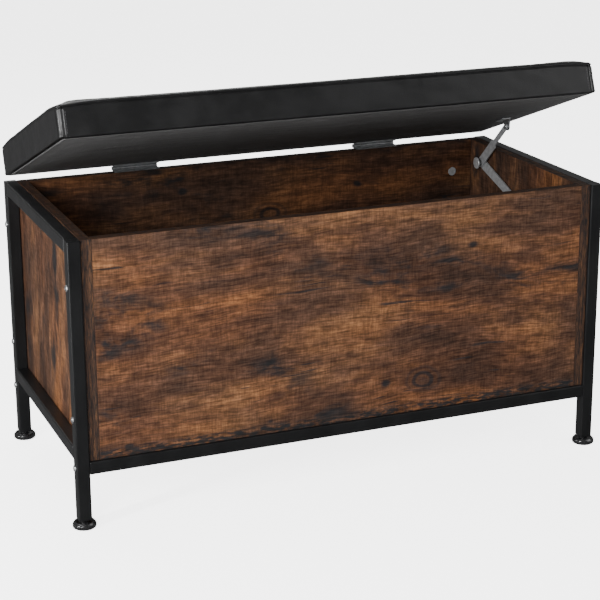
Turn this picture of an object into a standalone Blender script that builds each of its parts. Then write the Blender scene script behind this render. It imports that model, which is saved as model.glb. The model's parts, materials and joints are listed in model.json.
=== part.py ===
"""Storage bench: a wooden box in a square-tube steel frame, with a padded lid.

The lid turns on two butt hinges at the rear, and a folding stay on the right holds it.
Metres, +Z up. X runs along the bench, -Y is the front. The bench is shown with its lid
part open, and the origin is on the floor, in the middle of that shape's outline.
"""
import math

import bmesh
import bpy
from mathutils import Matrix, Vector

# Overall sizes.
LENGTH = 0.870
DEPTH = 0.400
FRAME_TOP = 0.440
CENTRE_Y = -0.0058
GAP = 0.0003

# Steel frame.
TUBE = 0.020
TUBE_WALL = 0.0015
TUBE_CORNER = 0.0022
LEG_BOTTOM = 0.0125
LONG_RAIL_BOTTOM = 0.084
LOW_RAIL_BOTTOM = 0.105
END_PLATE = 0.003

# Wooden panels.
BOARD = 0.016
BOARD_SETBACK = 0.004
BOARD_EDGE = 0.0006
FLOOR_BOARD = 0.009
FLOOR_BOTTOM = 0.112
GROOVE = 0.005

# Bolts that pass through the legs.
BOLT_RADIUS = 0.003
BOLT_HEAD_RADIUS = 0.0052
BOLT_HEAD_HEIGHT = 0.0028
SOCKET_RADIUS = 0.0023
PANEL_BOLT_HEIGHTS = (0.370, 0.170)
RAIL_BOLT_HEIGHT = LONG_RAIL_BOTTOM + TUBE / 2
PANEL_BOLT_LENGTH = 0.034
RAIL_BOLT_LENGTH = 0.030

# Cam locks that join the long panels to the end panels.
CAM_RADIUS = 0.0075
CAM_DEPTH = 0.0125
CAM_INSET = 0.0365
CAM_HEIGHTS = {"upper": 0.385, "lower": 0.152}
CAM_SLOT = (0.0016, 0.0092)

# Levelling feet.
FOOT_RADIUS = 0.0178
FOOT_BAND = 0.0068
FOOT_HEIGHT = 0.0095
FOOT_RIDGES = 20
FOOT_RIDGE_DEPTH = 0.0005
STUD_RADIUS = 0.004
STUD_TOP = 0.042
INSERT_HEIGHT = 0.018

# Lid.
LID_DEPTH = 0.405
LID_THICKNESS = 0.055
LID_BOARD = 0.012
LID_COVER = 0.0012
LID_SKIN = 0.003
LID_CORNER = 0.012
OPENING_DEG = 20.0

# Hinges.
HINGE_X = (-0.216, 0.216)
HINGE_LENGTH = 0.077
HINGE_LEAF_WIDTH = 0.015
HINGE_LEAF = 0.0012
KNUCKLE_RADIUS = 0.0030
KNUCKLE_BORE = 0.0014
PIN_RADIUS = 0.0011
CENTRE_KNUCKLE = 0.048
KNUCKLE_GAP = 0.0004

# Folding stay, as (y, z) points from the frame's middle and the floor.
STAY_FOOT = Vector((-0.0126, 0.3625))
STAY_ELBOW = Vector((0.130, 0.409))
STAY_TOP = Vector((0.043, 0.490))
STAY_PLATE = 0.0022
STAY_SPACE = 0.0005
LOWER_ARM_WIDTHS = (0.0135, 0.0185)
UPPER_ARM_WIDTHS = (0.0165, 0.0095)
UPPER_ARM_STEP = 0.52
KNOB_RADIUS = 0.0100
KNOB_THICKNESS = 0.0020
KNOB_OFFSET = 0.0062
WASHER_RADIUS = 0.0052
RIVET_RADIUS = 0.0040
RIVET_HEIGHT = 0.0014
BRACKET_WIDTH = 0.026
SIDE_BRACKET_WIDTH = 0.024
SIDE_BRACKET_REACH = 0.024
SIDE_BRACKET_SHIFT = 0.005
SIDE_BRACKET_TILT_DEG = 34.0

HALF_X = LENGTH / 2
HALF_Y = DEPTH / 2
PANEL_OUTER_X = HALF_X - TUBE - GAP
PANEL_INNER_X = PANEL_OUTER_X - BOARD
PANEL_OUTER_Y = HALF_Y - BOARD_SETBACK
PANEL_INNER_Y = PANEL_OUTER_Y - BOARD
PANEL_BOTTOM = LONG_RAIL_BOTTOM + TUBE + GAP
HINGE_Y = PANEL_OUTER_Y + KNUCKLE_RADIUS + GAP
HINGE_Z = FRAME_TOP + GAP + KNUCKLE_RADIUS
LID_BOTTOM = HINGE_Z + KNUCKLE_RADIUS + GAP
LID_REAR = HALF_Y + 0.003
SIDES = {"left": -1, "right": 1}
ENDS = {"front": -1, "rear": 1}

STEEL_BLACK = ("black_steel", (0.020, 0.020, 0.022), 0.42, 0.5)
WOOD = ("rustic_board", (0.190, 0.085, 0.038), 0.55, 0.0)
WOOD_INSIDE = ("rustic_board_inside", (0.085, 0.036, 0.020), 0.60, 0.0)
ZINC = ("zinc_steel", (0.48, 0.48, 0.49), 0.32, 1.0)
PLASTIC = ("black_plastic", (0.022, 0.022, 0.024), 0.38, 0.0)
VINYL = ("black_vinyl", (0.014, 0.014, 0.015), 0.36, 0.0)
CLOTH = ("black_cloth", (0.012, 0.012, 0.013), 0.85, 0.0)
FOAM = ("grey_foam", (0.30, 0.30, 0.30), 0.90, 0.0)


def clear_scene():
    for item in list(bpy.data.objects):
        bpy.data.objects.remove(item, do_unlink=True)


def material(spec):
    name, colour, roughness, metallic = spec
    found = bpy.data.materials.get(name)
    if found:
        return found
    made = bpy.data.materials.new(name)
    made.use_nodes = True
    shader = made.node_tree.nodes["Principled BSDF"]
    shader.inputs["Base Color"].default_value = (*colour, 1.0)
    shader.inputs["Roughness"].default_value = roughness
    shader.inputs["Metallic"].default_value = metallic
    return made


def add_object(name, shape, spec, place, parent=None, turn=None):
    """Turn a bmesh into a named object. place is its world position before the lid opens."""
    bmesh.ops.recalc_face_normals(shape, faces=shape.faces)
    mesh = bpy.data.meshes.new(name)
    shape.to_mesh(mesh)
    shape.free()
    mesh.shade_smooth()
    mesh.set_sharp_from_angle(angle=math.radians(35))
    made = bpy.data.objects.new(name, mesh)
    bpy.context.collection.objects.link(made)
    if spec:
        mesh.materials.append(material(spec))
    made.location = place
    if turn:
        made.rotation_euler = turn
    if parent:
        made.parent = parent
        made.location = Vector(place) - parent.location
    return made


def box_shape(size, bevel=0.0, segments=2):
    shape = bmesh.new()
    bmesh.ops.create_cube(shape, size=1.0, matrix=Matrix.Diagonal((*size, 1.0)))
    if bevel:
        bmesh.ops.bevel(shape, geom=list(shape.edges), offset=bevel, segments=segments,
                        profile=0.5, affect="EDGES")
    return shape


def add_box(name, low, high, spec, bevel=0.0, parent=None, segments=2):
    low, high = Vector(low), Vector(high)
    return add_object(name, box_shape(high - low, bevel, segments), spec, (low + high) / 2, parent)


def cylinder_shape(radius, length, sides=24):
    shape = bmesh.new()
    bmesh.ops.create_cone(shape, cap_ends=True, segments=sides, radius1=radius, radius2=radius,
                          depth=length)
    return shape


def turned_shape(profile, sides=32, ridge=0.0, ridge_below=0.0):
    """Turn (radius, height) points about Z. The first and last points lie on the axis.

    ridge raises every other side of the points under ridge_below, for a knurled band.
    """
    shape = bmesh.new()
    start = shape.verts.new((0.0, 0.0, profile[0][1]))
    rings = []
    for radius, height in profile[1:-1]:
        ring = []
        for side in range(sides):
            angle = 2 * math.pi * side / sides
            reach = radius - (ridge if height <= ridge_below and side % 2 else 0.0)
            ring.append(shape.verts.new((reach * math.cos(angle), reach * math.sin(angle), height)))
        rings.append(ring)
    finish = shape.verts.new((0.0, 0.0, profile[-1][1]))
    for side in range(sides):
        after = (side + 1) % sides
        shape.faces.new((start, rings[0][after], rings[0][side]))
        for low, high in zip(rings, rings[1:]):
            shape.faces.new((low[side], low[after], high[after], high[side]))
        shape.faces.new((rings[-1][side], rings[-1][after], finish))
    return shape


def square_ring(half, corner, steps=3):
    """Points of a square of half-width half with rounded corners, anticlockwise."""
    points = []
    for quarter in range(4):
        middle = math.pi / 4 + quarter * math.pi / 2
        centre = Vector((math.copysign(half - corner, math.cos(middle)),
                         math.copysign(half - corner, math.sin(middle))))
        for step in range(steps + 1):
            angle = middle - math.pi / 4 + step * math.pi / 2 / steps
            points.append(centre + corner * Vector((math.cos(angle), math.sin(angle))))
    return points


def tube_shape(length, end_walls=(0.0, 0.0), size=TUBE):
    """Square tube along Z from 0 to length. An end wall of 0 leaves that end open."""
    half = size / 2
    outer = square_ring(half, TUBE_CORNER)
    rim = square_ring(half - 0.0006, TUBE_CORNER - 0.0006)
    inner = square_ring(half - TUBE_WALL, TUBE_CORNER - TUBE_WALL)
    shape = bmesh.new()

    def ring(points, height):
        return [shape.verts.new((*point, height)) for point in points]

    def join(first, second):
        count = len(first)
        for index in range(count):
            after = (index + 1) % count
            shape.faces.new((first[index], first[after], second[after], second[index]))

    walls = [ring(rim, 0.0), ring(outer, 0.0006), ring(outer, length - 0.0006), ring(rim, length)]
    for first, second in zip(walls, walls[1:]):
        join(first, second)
    bore = [ring(inner, end_walls[0]), ring(inner, length - end_walls[1])]
    join(bore[1], bore[0])
    for outside, inside, wall in ((walls[0], bore[0], end_walls[0]), (walls[3], bore[1], end_walls[1])):
        if wall:
            shape.faces.new(outside)
            shape.faces.new(inside)
        else:
            join(outside, inside)
    return shape


ALONG_X = (0.0, math.pi / 2, 0.0)
ALONG_Y = (-math.pi / 2, 0.0, 0.0)


def add_cutter(name, shape, place, turn=None, parent=None):
    cutter = add_object(name, shape, None, place, parent, turn)
    cutter.hide_render = True
    cutter.display_type = "WIRE"
    return cutter


def cut(target, cutter, operation="DIFFERENCE"):
    step = target.modifiers.new(cutter.name, "BOOLEAN")
    step.operation = operation
    step.solver = "EXACT"
    step.object = cutter


def at(x, y, z):
    """World position from a place given from the frame's middle."""
    return Vector((x, y + CENTRE_Y, z))


def add_legs():
    legs = {}
    for side, sign_x in SIDES.items():
        for end, sign_y in ENDS.items():
            shape = tube_shape(FRAME_TOP - LEG_BOTTOM, (0.0, TUBE_WALL))
            place = at(sign_x * (HALF_X - TUBE / 2), sign_y * (HALF_Y - TUBE / 2), LEG_BOTTOM)
            legs[end, side] = add_object(f"leg_{end}_{side}", shape, STEEL_BLACK, place)
    return legs


def add_end_rails():
    length = DEPTH - 2 * TUBE - 2 * GAP
    heights = {"top": FRAME_TOP - TUBE / 2, "lower": LOW_RAIL_BOTTOM + TUBE / 2}
    for side, sign_x in SIDES.items():
        for level, height in heights.items():
            place = at(sign_x * (HALF_X - TUBE / 2), -length / 2, height)
            add_object(f"{level}_rail_{side}", tube_shape(length), STEEL_BLACK, place, None, ALONG_Y)


def add_long_rails():
    length = LENGTH - 2 * TUBE - 2 * GAP
    rails = {}
    for end, sign_y in ENDS.items():
        place = at(-length / 2, sign_y * (HALF_Y - TUBE / 2), LONG_RAIL_BOTTOM + TUBE / 2)
        shape = tube_shape(length, (END_PLATE, END_PLATE))
        rails[end] = add_object(f"long_rail_{end}", shape, STEEL_BLACK, place, None, ALONG_X)
    return rails


def add_panels():
    panels = {}
    for side, sign_x in SIDES.items():
        edges = sorted((sign_x * PANEL_OUTER_X, sign_x * PANEL_INNER_X))
        panels[side] = add_box(f"{side}_panel", at(edges[0], -PANEL_OUTER_Y, PANEL_BOTTOM),
                               at(edges[1], PANEL_OUTER_Y, FRAME_TOP), WOOD, BOARD_EDGE)
    reach = PANEL_INNER_X - GAP
    for end, sign_y in ENDS.items():
        name = "front_panel" if end == "front" else "back_panel"
        edges = sorted((sign_y * PANEL_OUTER_Y, sign_y * PANEL_INNER_Y))
        panels[end] = add_box(name, at(-reach, edges[0], PANEL_BOTTOM), at(reach, edges[1], FRAME_TOP),
                              WOOD, BOARD_EDGE)
    reach_x = PANEL_INNER_X + GROOVE - GAP
    reach_y = PANEL_INNER_Y + GROOVE - GAP
    add_box("floor_panel", at(-reach_x, -reach_y, FLOOR_BOTTOM),
            at(reach_x, reach_y, FLOOR_BOTTOM + FLOOR_BOARD), WOOD_INSIDE, BOARD_EDGE)
    return panels


def cut_floor_groove(panels):
    """One slab the size of the floor, with a gap all round, cuts the groove of each panel."""
    size = (2 * (PANEL_INNER_X + GROOVE), 2 * (PANEL_INNER_Y + GROOVE), FLOOR_BOARD + 2 * GAP)
    slab = add_cutter("floor_groove", box_shape(size), at(0, 0, FLOOR_BOTTOM + FLOOR_BOARD / 2))
    for panel in panels.values():
        cut(panel, slab)


def bolt_shape(length):
    """Button-head bolt on Z: the head's underside at 0, its shank below, a socket on top."""
    rise = BOLT_HEAD_HEIGHT - 0.0008
    crown = [(BOLT_HEAD_RADIUS * math.cos(math.radians(turn)), 0.0008 + rise * math.sin(math.radians(turn)))
             for turn in (0, 25, 50)]
    profile = [(0.0, -length), (BOLT_RADIUS, -length), (BOLT_RADIUS, 0.0), (BOLT_HEAD_RADIUS, 0.0),
               *crown, (SOCKET_RADIUS, BOLT_HEAD_HEIGHT), (SOCKET_RADIUS * 0.92, 0.0009), (0.0, 0.0009)]
    return turned_shape(profile, 16)


def add_bolts(legs, rails, panels):
    """Three bolts pass through each leg: two into the end panel, one into the long rail."""
    heights = {"upper": PANEL_BOLT_HEIGHTS[0], "middle": PANEL_BOLT_HEIGHTS[1], "rail": RAIL_BOLT_HEIGHT}
    for (end, side), leg in legs.items():
        sign_x, sign_y = SIDES[side], ENDS[end]
        place_y = sign_y * (HALF_Y - TUBE / 2)
        for label, height in heights.items():
            length = RAIL_BOLT_LENGTH if label == "rail" else PANEL_BOLT_LENGTH
            name = f"{label}_bolt_{end}_{side}"
            add_object(name, bolt_shape(length), ZINC, at(sign_x * (HALF_X + GAP), place_y, height),
                       None, (0.0, sign_x * math.pi / 2, 0.0))
            reach = length + 0.001
            hole = add_cutter(f"hole_{name}", cylinder_shape(BOLT_RADIUS + GAP, reach, 16),
                              at(sign_x * (HALF_X + 0.001 - reach / 2), place_y, height), ALONG_X)
            cut(leg, hole)
            cut(rails[end] if label == "rail" else panels[side], hole)


def add_cam_locks(panels):
    """Round cam locks let into the inner faces of the front and back panels, near each end."""
    chamfer = 0.0006
    profile = [(0.0, 0.0), (CAM_RADIUS, 0.0), (CAM_RADIUS, CAM_DEPTH - chamfer),
               (CAM_RADIUS - chamfer, CAM_DEPTH), (0.0, CAM_DEPTH)]
    for end, sign_y in ENDS.items():
        face = sign_y * PANEL_INNER_Y
        back = face + sign_y * CAM_DEPTH
        turn = (sign_y * math.pi / 2, 0.0, 0.0)
        for side, sign_x in SIDES.items():
            place_x = sign_x * (PANEL_INNER_X - CAM_INSET)
            for level, height in CAM_HEIGHTS.items():
                name = f"{level}_cam_{end}_{side}"
                cam = add_object(name, turned_shape(profile, 24), ZINC, at(place_x, back, height), None, turn)
                slot = add_cutter(f"slot_{name}", box_shape((CAM_SLOT[1], 0.002, CAM_SLOT[0])),
                                  at(place_x, face, height))
                cut(cam, slot)
                depth = CAM_DEPTH + GAP
                pocket = add_cutter(f"pocket_{name}", cylinder_shape(CAM_RADIUS + GAP, depth + 0.001),
                                    at(place_x, face + sign_y * (depth - 0.001) / 2, height), ALONG_Y)
                cut(panels[end], pocket)


def foot_shape():
    """Knurled disc with a dished top and a threaded stud."""
    profile = [(0.0, 0.0), (FOOT_RADIUS - 0.0012, 0.0), (FOOT_RADIUS, 0.0012),
               (FOOT_RADIUS, FOOT_BAND - 0.0008), (FOOT_RADIUS - 0.0008, FOOT_BAND),
               (FOOT_RADIUS - 0.0026, FOOT_HEIGHT - 0.0004), (FOOT_RADIUS - 0.0034, FOOT_HEIGHT),
               (FOOT_RADIUS - 0.0046, FOOT_HEIGHT - 0.0005), (FOOT_RADIUS - 0.0056, FOOT_HEIGHT - 0.0026),
               (STUD_RADIUS + 0.003, FOOT_HEIGHT - 0.0026), (STUD_RADIUS + 0.0026, LEG_BOTTOM - 0.0009),
               (STUD_RADIUS, LEG_BOTTOM - 0.0007), (STUD_RADIUS, STUD_TOP - 0.0008),
               (STUD_RADIUS - 0.0008, STUD_TOP), (0.0, STUD_TOP)]
    return turned_shape(profile, 2 * FOOT_RIDGES, FOOT_RIDGE_DEPTH, FOOT_BAND - 0.0004)


def add_feet():
    half = TUBE / 2 - TUBE_WALL - GAP
    for side, sign_x in SIDES.items():
        for end, sign_y in ENDS.items():
            centre_x, centre_y = sign_x * (HALF_X - TUBE / 2), sign_y * (HALF_Y - TUBE / 2)
            add_object(f"foot_{end}_{side}", foot_shape(), PLASTIC, at(centre_x, centre_y, 0.0))
            insert = add_box(f"leg_insert_{end}_{side}", at(centre_x - half, centre_y - half, LEG_BOTTOM),
                             at(centre_x + half, centre_y + half, LEG_BOTTOM + INSERT_HEIGHT), PLASTIC)
            bore = add_cutter(f"bore_foot_{end}_{side}", cylinder_shape(STUD_RADIUS + GAP, 0.05),
                              at(centre_x, centre_y, LEG_BOTTOM + INSERT_HEIGHT / 2))
            cut(insert, bore)


def add_leaf(name, hinge_x, towards_lid, parent):
    """Leaf plate with its knuckles. The lid's leaf lies above the axis and has the middle knuckle."""
    sign_z = 1 if towards_lid else -1
    level = sorted((HINGE_Z + sign_z * (KNUCKLE_RADIUS - HINGE_LEAF), HINGE_Z + sign_z * KNUCKLE_RADIUS))
    shoulder = HINGE_Y - KNUCKLE_RADIUS - 0.0006
    half = HINGE_LENGTH / 2
    leaf = add_box(name, at(hinge_x - half, shoulder - HINGE_LEAF_WIDTH, level[0]),
                   at(hinge_x + half, shoulder, level[1]), ZINC, 0.0, parent)
    middle = CENTRE_KNUCKLE / 2
    spans = [(-middle, middle)] if towards_lid else [(-half, -middle - KNUCKLE_GAP),
                                                     (middle + KNUCKLE_GAP, half)]
    for number, (start, stop) in enumerate(spans):
        centre_x = hinge_x + (start + stop) / 2
        tongue = add_box(f"{name}_tongue_{number}", at(hinge_x + start, shoulder - 0.001, level[0]),
                         at(hinge_x + stop, HINGE_Y, level[1]), None, 0.0, parent)
        roll = add_cutter(f"{name}_roll_{number}", cylinder_shape(KNUCKLE_RADIUS, stop - start),
                          at(centre_x, HINGE_Y, HINGE_Z), ALONG_X, parent)
        tongue.hide_render = True
        tongue.display_type = "WIRE"
        cut(leaf, tongue, "UNION")
        cut(leaf, roll, "UNION")
    bore = add_cutter(f"{name}_bore", cylinder_shape(KNUCKLE_BORE, HINGE_LENGTH + 0.01, 16),
                      at(hinge_x, HINGE_Y, HINGE_Z), ALONG_X, parent)
    cut(leaf, bore)


def add_hinges(lid_pivot):
    for side, hinge_x in zip(SIDES, HINGE_X):
        add_leaf(f"hinge_box_leaf_{side}", hinge_x, False, None)
        add_leaf(f"hinge_lid_leaf_{side}", hinge_x, True, lid_pivot)
        add_object(f"hinge_pin_{side}", cylinder_shape(PIN_RADIUS, HINGE_LENGTH - 0.001, 16), ZINC,
                   at(hinge_x, HINGE_Y, HINGE_Z), None, ALONG_X)


def add_lid(lid_pivot):
    """Cover shell with foam and a board inside, closed below by a thin cloth. All lie as if shut."""
    front = LID_REAR - LID_DEPTH
    top = LID_BOTTOM + LID_THICKNESS
    corner = LID_CORNER - LID_SKIN
    cover = add_object("seat_cushion", lid_block((LENGTH, LID_DEPTH, LID_THICKNESS), LID_CORNER), VINYL,
                       at(0, (front + LID_REAR) / 2, (LID_BOTTOM + top) / 2), lid_pivot)
    below = LID_BOTTOM - 2 * corner
    ceiling = top - LID_SKIN
    hollow = box_shape((LENGTH - 2 * LID_SKIN, LID_DEPTH - 2 * LID_SKIN, ceiling - below), corner, 4)
    cut(cover, add_cutter("cover_hollow", hollow, at(0, (front + LID_REAR) / 2, (ceiling + below) / 2),
                          None, lid_pivot))
    edge = LID_SKIN + GAP
    levels = {"lid_underside": (LID_BOTTOM, LID_COVER, CLOTH)}
    levels["lid_board"] = (LID_BOTTOM + LID_COVER + GAP, LID_BOARD, WOOD_INSIDE)
    foam_bottom = levels["lid_board"][0] + LID_BOARD + GAP
    levels["seat_foam"] = (foam_bottom, ceiling - GAP - foam_bottom, FOAM)
    for name, (bottom, thickness, spec) in levels.items():
        size = (LENGTH - 2 * edge, LID_DEPTH - 2 * edge, thickness)
        shape = upright_corners(size, corner) if thickness < 2 * corner else box_shape(size, corner, 4)
        add_object(name, shape, spec, at(0, (front + LID_REAR) / 2, bottom + thickness / 2), lid_pivot)


def lid_block(size, corner):
    """Block rounded along its top and upright edges and crisp along its lower ones."""
    shape = box_shape(size)
    rounded = [edge for edge in shape.edges if any(vertex.co.z > 0 for vertex in edge.verts)]
    bmesh.ops.bevel(shape, geom=rounded, offset=corner, segments=4, profile=0.5, affect="EDGES")
    return shape


def upright_corners(size, corner):
    """Flat board whose four upright edges are rounded."""
    shape = box_shape(size)
    upright = [edge for edge in shape.edges if abs((edge.verts[0].co - edge.verts[1].co).z) > size[2] / 2]
    bmesh.ops.bevel(shape, geom=upright, offset=corner, segments=4, profile=0.5, affect="EDGES")
    return shape


def plate_shape(outline, thickness):
    """Flat plate in the YZ plane, from x = 0 to thickness, from (y, z) points."""
    shape = bmesh.new()
    face = shape.faces.new([shape.verts.new((0.0, *point)) for point in outline])
    raised = bmesh.ops.extrude_face_region(shape, geom=[face])
    corners = [item for item in raised["geom"] if isinstance(item, bmesh.types.BMVert)]
    bmesh.ops.translate(shape, verts=corners, vec=(thickness, 0.0, 0.0))
    return shape


def arm_outline(length, start_width, stop_width, step=None):
    """Bar along +Y with round ends. step is where it narrows at once, as a share of the length."""
    def cap(centre, radius, first):
        return [(centre + radius * math.cos(math.radians(first + turn)),
                 radius * math.sin(math.radians(first + turn))) for turn in range(0, 181, 20)]

    start, stop = start_width / 2, stop_width / 2
    shoulder = []
    if step:
        shoulder = [(step * length + 0.004, stop), (step * length, start)]
    lower = [(y, -z) for y, z in reversed(shoulder)]
    return cap(length, stop, -90) + shoulder + cap(0.0, start, 90) + lower


def add_arm(name, start, stop, outline, place_x, parent):
    """Bar from start to stop in the YZ plane, under the parent empty at its own pivot."""
    run = stop - start
    tilt = math.atan2(run.y, run.x)
    return add_object(name, plate_shape(outline, STAY_PLATE), ZINC, at(place_x, start.x, start.y),
                      parent, (tilt, 0.0, 0.0))


def domed_rivet(neck, reach):
    """Rivet along Z: a domed head below 0 and a plain neck up to reach."""
    profile = [(0.0, -RIVET_HEIGHT), (RIVET_RADIUS * 0.6, -RIVET_HEIGHT),
               (RIVET_RADIUS, -RIVET_HEIGHT * 0.3), (RIVET_RADIUS, 0.0), (neck, 0.0), (neck, reach), (0.0, reach)]
    return turned_shape(profile, 18)


def pivot_empty(name, point):
    empty = bpy.data.objects.new(name, None)
    bpy.context.collection.objects.link(empty)
    empty.location = at(0.0, point.x, point.y)
    return empty


def shut_place(point):
    """Where a (y, z) point of the open lid lies when the lid is shut."""
    axis = Vector((HINGE_Y, HINGE_Z))
    return axis + Matrix.Rotation(math.radians(OPENING_DEG), 2) @ (point - axis)


def add_stay(lid_pivot):
    """Folding stay on the right: the lid's bracket, two arms on an elbow pin, and a side bracket.

    The lower arm's foot lies against the side bracket with a gap, because this is where the
    closed linkage is opened.
    """
    bracket_x = PANEL_INNER_X - GAP - STAY_PLATE
    lower_x = bracket_x - STAY_SPACE - STAY_PLATE
    upper_x = lower_x - STAY_SPACE - STAY_PLATE
    top_pivot = pivot_empty("stay_top_pivot", STAY_TOP)
    elbow_pivot = pivot_empty("stay_elbow_pivot", STAY_ELBOW)
    upper_outline = arm_outline((STAY_TOP - STAY_ELBOW).length, *UPPER_ARM_WIDTHS, UPPER_ARM_STEP)
    upper = add_arm("stay_upper_arm", STAY_ELBOW, STAY_TOP, upper_outline, upper_x, top_pivot)
    lower_outline = arm_outline((STAY_ELBOW - STAY_FOOT).length, *LOWER_ARM_WIDTHS)
    lower = add_arm("stay_lower_arm", STAY_FOOT, STAY_ELBOW, lower_outline, lower_x, elbow_pivot)
    add_foot_rivet(lower, lower_x, elbow_pivot)
    add_elbow(upper, lower, upper_x, lower_x, top_pivot)
    add_lid_bracket(upper, upper_x, lower_x, lid_pivot)
    add_side_bracket(bracket_x)


def add_foot_rivet(lower, lower_x, parent):
    """Rivet head on the lower arm's foot, in one piece with the arm."""
    head = add_cutter("stay_foot_rivet", domed_rivet(RIVET_RADIUS, STAY_PLATE * 0.5),
                      at(lower_x, STAY_FOOT.x, STAY_FOOT.y), ALONG_X, parent)
    cut(lower, head, "UNION")


def add_elbow(upper, lower, upper_x, lower_x, parent):
    """Elbow pin with its friction disc on the inner side, and the dark washer under the disc."""
    neck = RIVET_RADIUS * 0.6
    disc_x = upper_x - KNOB_OFFSET
    reach = lower_x + STAY_PLATE - disc_x
    edge = 0.0005
    profile = [(0.0, -KNOB_THICKNESS), (KNOB_RADIUS - edge, -KNOB_THICKNESS),
               (KNOB_RADIUS, -KNOB_THICKNESS + edge), (KNOB_RADIUS, 0.0), (neck, 0.0), (neck, reach),
               (0.0, reach)]
    add_object("stay_elbow_pin", turned_shape(profile, 28), ZINC,
               at(disc_x, STAY_ELBOW.x, STAY_ELBOW.y), parent, ALONG_X)
    washer_length = KNOB_OFFSET - 2 * GAP
    washer = add_object("stay_elbow_washer", cylinder_shape(WASHER_RADIUS, washer_length), PLASTIC,
                        at(disc_x + GAP + washer_length / 2, STAY_ELBOW.x, STAY_ELBOW.y), parent, ALONG_X)
    bore = add_cutter("stay_elbow_bore", cylinder_shape(neck + GAP, 0.04, 20),
                      at(upper_x, STAY_ELBOW.x, STAY_ELBOW.y), ALONG_X, parent)
    for target in (lower, upper, washer):
        cut(target, bore)


def add_lid_bracket(upper, upper_x, tab_x, lid_pivot):
    """Angle bracket: a foot on the lid's underside and a tab beside the arm, with its rivet."""
    pivot = shut_place(STAY_TOP)
    foot_top = LID_BOTTOM - GAP
    half = BRACKET_WIDTH / 2
    outline = [(pivot.x + half, foot_top), (pivot.x - half, foot_top)]
    for turn in range(180, 361, 20):
        angle = math.radians(turn)
        outline.append((pivot.x + 0.007 * math.cos(angle), pivot.y + 0.007 * math.sin(angle)))
    bracket = add_object("stay_lid_bracket", plate_shape(outline, STAY_PLATE), ZINC, at(tab_x, 0.0, 0.0),
                         lid_pivot)
    foot = add_cutter("stay_lid_bracket_foot", box_shape((0.016, BRACKET_WIDTH, 0.0018)),
                      at(tab_x + STAY_PLATE - 0.008, pivot.x, foot_top - 0.0009), None, lid_pivot)
    cut(bracket, foot, "UNION")
    neck = RIVET_RADIUS * 0.45
    add_object("stay_top_rivet", domed_rivet(neck, 2 * STAY_PLATE + STAY_SPACE), ZINC,
               at(upper_x - GAP, pivot.x, pivot.y), lid_pivot, ALONG_X)
    bore = add_cutter("stay_top_bore", cylinder_shape(neck + GAP, 0.02, 20),
                      at(upper_x, pivot.x, pivot.y), ALONG_X, lid_pivot)
    cut(bracket, bore)
    cut(upper, bore)


def add_side_bracket(place_x):
    """Round-ended plate on the end panel, behind the lower arm's foot."""
    along = Matrix.Rotation(math.radians(SIDE_BRACKET_TILT_DEG), 2) @ Vector((1.0, 0.0))
    middle = STAY_FOOT + SIDE_BRACKET_SHIFT * along
    start = middle - SIDE_BRACKET_REACH / 2 * along
    outline = arm_outline(SIDE_BRACKET_REACH, SIDE_BRACKET_WIDTH, SIDE_BRACKET_WIDTH)
    add_arm("stay_side_bracket", start, start + along, outline, place_x, None)


def main():
    clear_scene()
    legs = add_legs()
    add_end_rails()
    rails = add_long_rails()
    panels = add_panels()
    cut_floor_groove(panels)
    add_bolts(legs, rails, panels)
    add_cam_locks(panels)
    add_feet()
    lid_pivot = pivot_empty("lid_pivot", Vector((HINGE_Y, HINGE_Z)))
    add_lid(lid_pivot)
    add_hinges(lid_pivot)
    add_stay(lid_pivot)
    lid_pivot.rotation_euler.x = -math.radians(OPENING_DEG)


main()
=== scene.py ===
"""Storage bench with a padded lid: the finishes, the upholstery and the small hardware."""

import json
import math

import bmesh
import bpy
import numpy as np
from bpy.props import FloatProperty, FloatVectorProperty, IntProperty, PointerProperty
from mathutils import Matrix, Vector, noise
from mathutils.bvhtree import BVHTree


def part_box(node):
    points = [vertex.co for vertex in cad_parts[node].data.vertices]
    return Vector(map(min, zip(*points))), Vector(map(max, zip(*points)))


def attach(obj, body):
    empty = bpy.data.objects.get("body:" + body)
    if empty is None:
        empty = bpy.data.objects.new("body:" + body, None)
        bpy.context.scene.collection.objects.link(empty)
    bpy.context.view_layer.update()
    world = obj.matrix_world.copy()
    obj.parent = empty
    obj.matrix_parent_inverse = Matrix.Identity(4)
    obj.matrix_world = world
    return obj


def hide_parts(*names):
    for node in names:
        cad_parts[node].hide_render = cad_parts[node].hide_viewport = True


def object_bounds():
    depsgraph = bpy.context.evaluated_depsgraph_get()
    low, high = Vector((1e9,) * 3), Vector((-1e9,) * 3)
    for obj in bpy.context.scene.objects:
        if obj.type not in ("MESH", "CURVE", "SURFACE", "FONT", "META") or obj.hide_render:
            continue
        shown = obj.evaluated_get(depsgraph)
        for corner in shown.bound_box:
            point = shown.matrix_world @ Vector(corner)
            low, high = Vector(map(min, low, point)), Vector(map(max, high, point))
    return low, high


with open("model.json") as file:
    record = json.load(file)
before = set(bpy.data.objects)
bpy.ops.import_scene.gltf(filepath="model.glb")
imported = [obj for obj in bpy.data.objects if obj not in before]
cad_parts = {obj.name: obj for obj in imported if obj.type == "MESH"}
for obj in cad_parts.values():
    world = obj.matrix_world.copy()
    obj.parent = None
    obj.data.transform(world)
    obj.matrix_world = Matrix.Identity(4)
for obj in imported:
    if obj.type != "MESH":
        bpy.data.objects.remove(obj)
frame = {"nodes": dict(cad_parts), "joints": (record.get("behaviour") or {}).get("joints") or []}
CAD_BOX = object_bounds()

bl_info = {
    "name": "Storage bench",
    "version": (1, 0, 0),
    "blender": (4, 5, 0),
    "location": "3D View > Sidebar > Bench",
    "description": "Finishes, cushion and fixings of a storage bench with a hinged, padded lid",
    "category": "Object",
}


def joint(name):
    return next(item for item in frame["joints"] if item["name"] == name)


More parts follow.
